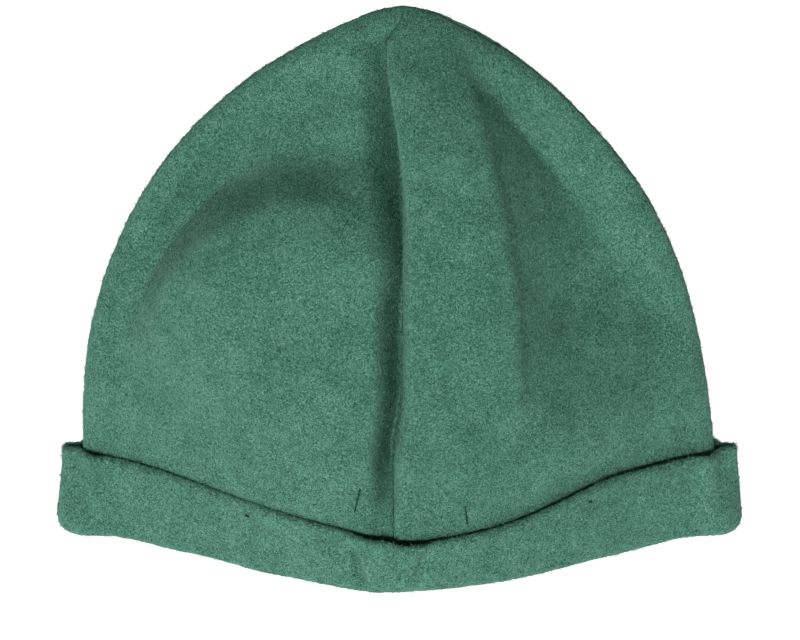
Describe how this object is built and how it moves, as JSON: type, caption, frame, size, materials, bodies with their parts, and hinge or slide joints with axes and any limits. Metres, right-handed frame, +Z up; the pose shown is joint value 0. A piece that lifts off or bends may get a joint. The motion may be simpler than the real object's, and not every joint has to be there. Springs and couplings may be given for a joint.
{
  "type": "knit beanie",
  "caption": "Boiled-wool beanie with a pointed crown of seamed gores and a turned-up edge, standing half open on its fold.",
  "frame": {"origin": "centre of the head opening, on the plane that the folded edge rests on", "axes": "+X to the wearer's left seen from the front seam side, +Y from the front seam to the back seam, +Z up to the peak"},
  "size_m": [0.264, 0.1186, 0.21],
  "materials": {
    "boiled_wool": "matte felted wool, short soft nap, flecked green",
    "sewing_thread": "spun thread, slightly glossy",
    "woven_ribbon": "fine woven ribbon, soft sheen",
    "satin_label": "printed-tape satin, left blank"
  },
  "bodies": {
    "root": {"front_left_gore": "boiled_wool", "front_right_gore": "boiled_wool", "back_left_gore": "boiled_wool", "back_right_gore": "boiled_wool", "centre_seam_thread": "sewing_thread", "left_seam_thread": "sewing_thread", "right_seam_thread": "sewing_thread", "front_left_tack": "sewing_thread", "front_right_tack": "sewing_thread", "back_left_tack": "sewing_thread", "back_right_tack": "sewing_thread", "woven_label": "woven_ribbon", "label_stitches_left": "sewing_thread", "label_stitches_right": "sewing_thread", "care_label": "satin_label"}
  },
  "joints": []
}
